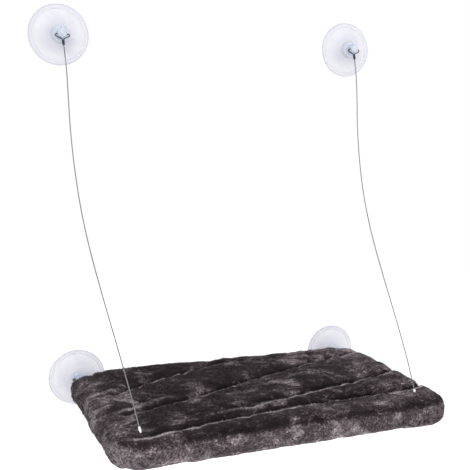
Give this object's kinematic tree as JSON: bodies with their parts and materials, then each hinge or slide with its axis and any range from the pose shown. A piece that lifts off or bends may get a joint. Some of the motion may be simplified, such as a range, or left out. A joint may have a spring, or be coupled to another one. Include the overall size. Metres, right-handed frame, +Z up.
{
  "type": "window mounted cat perch",
  "caption": "Window mounted cat perch: padded plush bed on a tube frame, hinged to lower suction cups and hung by slack steel wires from upper cups.",
  "frame": {"origin": "on the glass plane, midway between the axes of the two lower suction cups", "axes": "+X along the window to the right as seen from the room, +Y out through the glass, +Z up"},
  "size_m": [0.63, 0.39, 0.683],
  "materials": {
    "clear_pvc": "clear soft PVC",
    "steel_rope": "bare twisted rope",
    "dark_crimp": "dark oxide",
    "bright_ferrule": "bright",
    "corner_plastic": "moulded",
    "frame_tube": "powder coat",
    "pin_steel": "zinc plated",
    "foam": "open cell foam",
    "base_fabric": "plain weave",
    "plush": "short crushed pile",
    "zip_coil": "woven tape",
    "zip_metal": "black lacquer"
  },
  "bodies": {
    "window_side": {"cup_lower_left": "clear_pvc", "cup_lower_right": "clear_pvc", "cup_upper_left": "clear_pvc", "cup_upper_right": "clear_pvc", "wire_left": "steel_rope", "wire_right": "steel_rope", "upper_loop_left": "steel_rope", "upper_loop_right": "steel_rope", "upper_ferrule_left": "dark_crimp", "upper_ferrule_right": "dark_crimp"},
    "bed": {"lower_loop_left": "steel_rope", "lower_loop_right": "steel_rope", "lower_ferrule_left": "bright_ferrule", "lower_ferrule_right": "bright_ferrule", "front_corner_left": "corner_plastic", "front_corner_right": "corner_plastic", "rear_corner_left": "corner_plastic", "rear_corner_right": "corner_plastic", "front_tube": "frame_tube", "rear_tube": "frame_tube", "left_tube": "frame_tube", "right_tube": "frame_tube", "hinge_pin_left": "pin_steel", "hinge_pin_right": "pin_steel", "retaining_clips": "pin_steel", "spring_buttons": "pin_steel", "foam_pad": "foam", "base_panel": "base_fabric", "plush_cover": "plush", "zip_chain": "zip_coil"},
    "zip_slider_body": {"zip_slider": "zip_metal"},
    "zip_pull_body": {"zip_pull": "zip_metal"}
  },
  "joints": [
    {"name": "bed_fold", "type": "hinge", "parent": "window_side", "child": "bed", "pos_m": [0, -0.033, 0], "axis": [-1, 0, 0], "range_deg": [0, 85], "deforming": ["wire_left", "wire_right"]},
    {"name": "zip_slide", "type": "slide", "parent": "bed", "child": "zip_slider_body", "axis": [1, 0, 0], "range_m": [0, 0.31]},
    {"name": "pull_swing", "type": "hinge", "parent": "zip_slider_body", "child": "zip_pull_body", "pos_m": [-0.1552, -0.087, -0.0282], "axis": [0, 1, 0], "range_deg": [-80, 80]}
  ]
}
